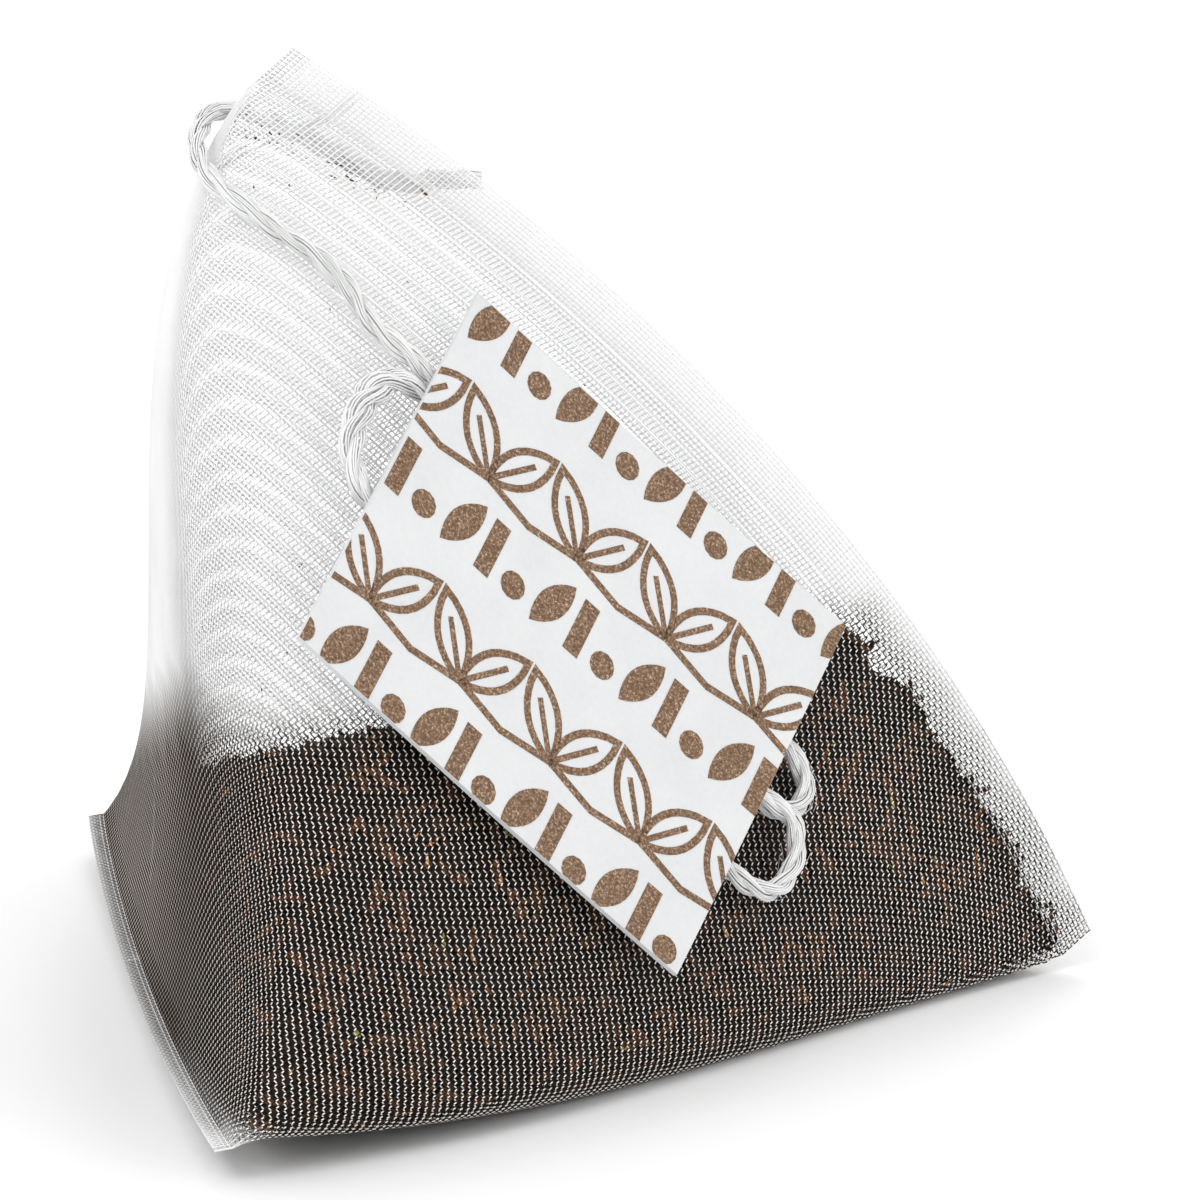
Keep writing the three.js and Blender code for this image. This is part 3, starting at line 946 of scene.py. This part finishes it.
def inkMaterial():
    material, t = newMaterial("brown speckled ink")
    spot = t.add("ShaderNodeTexCoord")
    grain = t.add("ShaderNodeTexNoise", {"Vector": spot.outputs["Object"], "Scale": 6500.0, "Detail": 3.0,
                                         "Roughness": 0.8})
    colour = ramp(t, grain.outputs["Fac"], [
        (0.36, (0.085, 0.045, 0.022)), (0.5, (0.17, 0.095, 0.05)), (0.6, (0.33, 0.21, 0.13)),
        (0.68, (0.6, 0.47, 0.35)),
    ])
    shader = t.add("ShaderNodeBsdfPrincipled", {"Base Color": colour.outputs["Color"], "Roughness": 0.75})
    finishMaterial(t, shader)
    return material


def makeTag(material):
    steps = tag["steps"]
    across = np.linspace(-0.5, 0.5, steps + 1)
    points, faces = [], []
    for level in (0, -tag["thickness"]):
        for v in across:
            for u in across:
                a, b = u * tag["width"], v * tag["height"]
                points.append(onTag(a, -b, curlHeight(a, b) + level))
    row, sheet = steps + 1, (steps + 1) ** 2
    for j in range(steps):
        for i in range(steps):
            a = j * row + i
            faces.append((a, a + 1, a + row + 1, a + row))
            faces.append((sheet + a, sheet + a + row, sheet + a + row + 1, sheet + a + 1))
    border = list(range(steps)) + [j * row + steps for j in range(steps)]
    border += [sheet - 1 - i for i in range(steps)] + [(steps - j) * row for j in range(steps)]
    for a, b in zip(border, border[1:] + border[:1]):
        faces.append((a, sheet + a, sheet + b, b))
    piece = linkObject("paper_tag", meshFrom("paper_tag", points, faces=faces))
    piece.data.materials.append(material)
    place(piece, "paper", "tag")
    return piece


printing = {
    "line": 0.42,
    "ink": 0.02,  # the ink's thickness
    "leafLength": 4.9,
    "leafWidth": 2.0,
    "rowStep": 5.6,
    "boldWidth": 1.05,
}


# A pointed leaf as a closed line, lying along X
def leafOutline(length, width, count=9):
    upper = []
    for i in range(count + 1):
        s = i / count
        upper.append((length * (s - 0.5), width / 2 * math.sin(math.pi * s) ** 0.8))
    return upper + [(x, -y) for x, y in reversed(upper[1:-1])]


def turnedShape(points, degrees, at):
    c, s = math.cos(math.radians(degrees)), math.sin(math.radians(degrees))
    return [(at[0] + x * c - y * s, at[1] + x * s + y * c) for x, y in points]


# Quads of a line of that width, one for each stretch, mitred where they meet
def strokeFaces(points, width, closed):
    p = np.asarray(points, float)
    count = len(p)
    sides = []
    for i in range(count):
        before = p[i] - p[i - 1] if closed or i > 0 else p[1] - p[0]
        after = p[(i + 1) % count] - p[i] if closed or i < count - 1 else p[-1] - p[-2]
        before, after = before / np.linalg.norm(before), after / np.linalg.norm(after)
        mitre = before + after
        mitre = mitre / max(np.linalg.norm(mitre), 1e-6)
        normal = np.array([-mitre[1], mitre[0]])
        reach = width / 2 / max(abs(mitre.dot(before)), 0.45)
        sides.append((p[i] + normal * reach, p[i] - normal * reach))
    shapes = []
    for i in range(count if closed else count - 1):
        a, b = sides[i], sides[(i + 1) % count]
        shapes.append([a[1], b[1], b[0], a[0]])
    return shapes


# Rows of outlined leaf pairs and of solid leaves, bars and dots, which run off the tag's edges
def printShapes():
    shapes = []
    step = printing["rowStep"]
    line, bold = printing["line"], printing["boldWidth"]
    outline = leafOutline(printing["leafLength"], printing["leafWidth"])
    half = printing["leafLength"] / 2
    dot = [(0.8 * math.cos(k * math.pi / 6), 0.8 * math.sin(k * math.pi / 6)) for k in range(12)]
    for row in range(-2, 3):
        y = 0.3 - row * step
        shift = 1.9 * row
        for i in range(-3, 4):
            if row % 2:
                x = i * 6.6 + shift
                foot = (x, y - 2.3)
                for lean in (52, 128):  # two outlined leaves on one foot
                    c, sn = math.cos(math.radians(lean)), math.sin(math.radians(lean))
                    at = (foot[0] + half * c, foot[1] + half * sn)
                    shapes += strokeFaces(turnedShape(outline, lean, at), line, True)
                    rib = turnedShape([(-half, 0), (half * 0.4, 0)], lean, at)
                    shapes += strokeFaces(rib, line * 0.8, False)
                shapes += strokeFaces([foot, (x + 3.3, y - 2.9), (x + 6.6, y - 2.3)], line, False)
            else:
                x = i * 6.6 + shift
                shapes.append(turnedShape(leafOutline(4.0, 1.7), 66, (x - 2.0, y)))
                shapes += strokeFaces([(x + 0.1, y - 1.7), (x + 0.1, y + 1.7)], bold, False)
                shapes.append(turnedShape(dot, 0, (x + 2.1, y - 0.9)))
    return shapes


def makePrint(material):
    flat = bmesh.new()
    for shape in printShapes():
        area = sum(a[0] * b[1] - b[0] * a[1] for a, b in zip(shape, shape[1:] + shape[:1]))
        ordered = shape if area > 0 else shape[::-1]
        flat.faces.new([flat.verts.new((x, y, 0)) for x, y in ordered])
    halfWidth, halfHeight = tag["width"] / 2 - 0.02, tag["height"] / 2 - 0.02
    for normal in ((1, 0, 0), (-1, 0, 0), (0, 1, 0), (0, -1, 0)):
        edge = Vector((normal[0] * halfWidth, normal[1] * halfHeight, 0))
        bmesh.ops.bisect_plane(flat, geom=flat.verts[:] + flat.edges[:] + flat.faces[:], plane_co=edge,
                               plane_no=normal, clear_outer=True)
    for k in range(-6, 7):  # cut across, so that the ink follows the paper's curl
        for normal in ((1, 0, 0), (0, 1, 0)):
            bmesh.ops.bisect_plane(flat, geom=flat.verts[:] + flat.edges[:] + flat.faces[:],
                                   plane_co=Vector(normal) * 2.1 * k, plane_no=normal)
    thick = bmesh.ops.extrude_face_region(flat, geom=flat.faces[:])
    top = [v for v in thick["geom"] if isinstance(v, bmesh.types.BMVert)]
    for vertex in top:
        vertex.co.z = printing["ink"]
    for vertex in flat.verts:
        a, b, height = vertex.co
        spot = onTag(a, -b, curlHeight(a, b) + height + 0.004)
        vertex.co = Vector(spot) * mm
    bmesh.ops.recalc_face_normals(flat, faces=flat.faces)
    mesh = bpy.data.meshes.new("tag_print")
    flat.to_mesh(mesh)
    flat.free()
    mesh.materials.append(material)
    piece = linkObject("tag_print", mesh)
    place(piece, "paper")
    return piece


paperTag = makeTag(paperMaterial())
tagPrint = makePrint(inkMaterial())
print("tag printed")


# Floor and light
def makeFloor():
    material, t = newMaterial("pale floor")
    spot = t.add("ShaderNodeTexCoord")
    cloud = t.add("ShaderNodeTexNoise", {"Vector": spot.outputs["Object"], "Scale": 3.0, "Detail": 2.0})
    colour = ramp(t, cloud.outputs["Fac"], [(0.3, (0.9, 0.9, 0.9)), (0.7, (0.92, 0.92, 0.92))])
    shader = t.add("ShaderNodeBsdfPrincipled", {"Base Color": colour.outputs["Color"], "Roughness": 0.9})
    finishMaterial(t, shader)
    reach = 3000
    corners = [(-reach, -reach, 0), (reach, -reach, 0), (reach, reach, 0), (-reach, reach, 0)]
    floor = linkObject("floor", meshFrom("floor", corners, faces=[(0, 1, 2, 3)]))
    floor.data.materials.append(material)


def areaLight(name, spot, size, power):
    data = bpy.data.lights.new(name, "AREA")
    data.shape = "DISK"
    data.size = size
    data.energy = power
    lamp = bpy.data.objects.new(name, data)
    lamp.location = spot
    lamp.rotation_mode = "QUATERNION"
    lamp.rotation_quaternion = (Vector((0, 0, 0.02)) - Vector(spot)).to_track_quat("-Z", "Y")
    bpy.context.scene.collection.objects.link(lamp)


studio = {
    "world": 0.9,
    "lamps": [  # place, size and power, in metres and watts
        ("key", (-0.35, -0.45, 0.55), 0.35, 1.8),
        ("fill", (0.5, -0.35, 0.3), 0.5, 0.75),
        ("rim", (0.1, 0.5, 0.5), 0.4, 1.1),
    ],
}


def makeLight():
    world = bpy.data.worlds.new("studio")
    world.use_nodes = True
    world.node_tree.nodes["Background"].inputs["Color"].default_value = (1, 1, 1, 1)
    world.node_tree.nodes["Background"].inputs["Strength"].default_value = studio["world"]
    bpy.context.scene.world = world
    for lamp in studio["lamps"]:
        areaLight(*lamp)


makeFloor()
makeLight()
bpy.context.scene.view_settings.view_transform = "Standard"

print("scene ready")
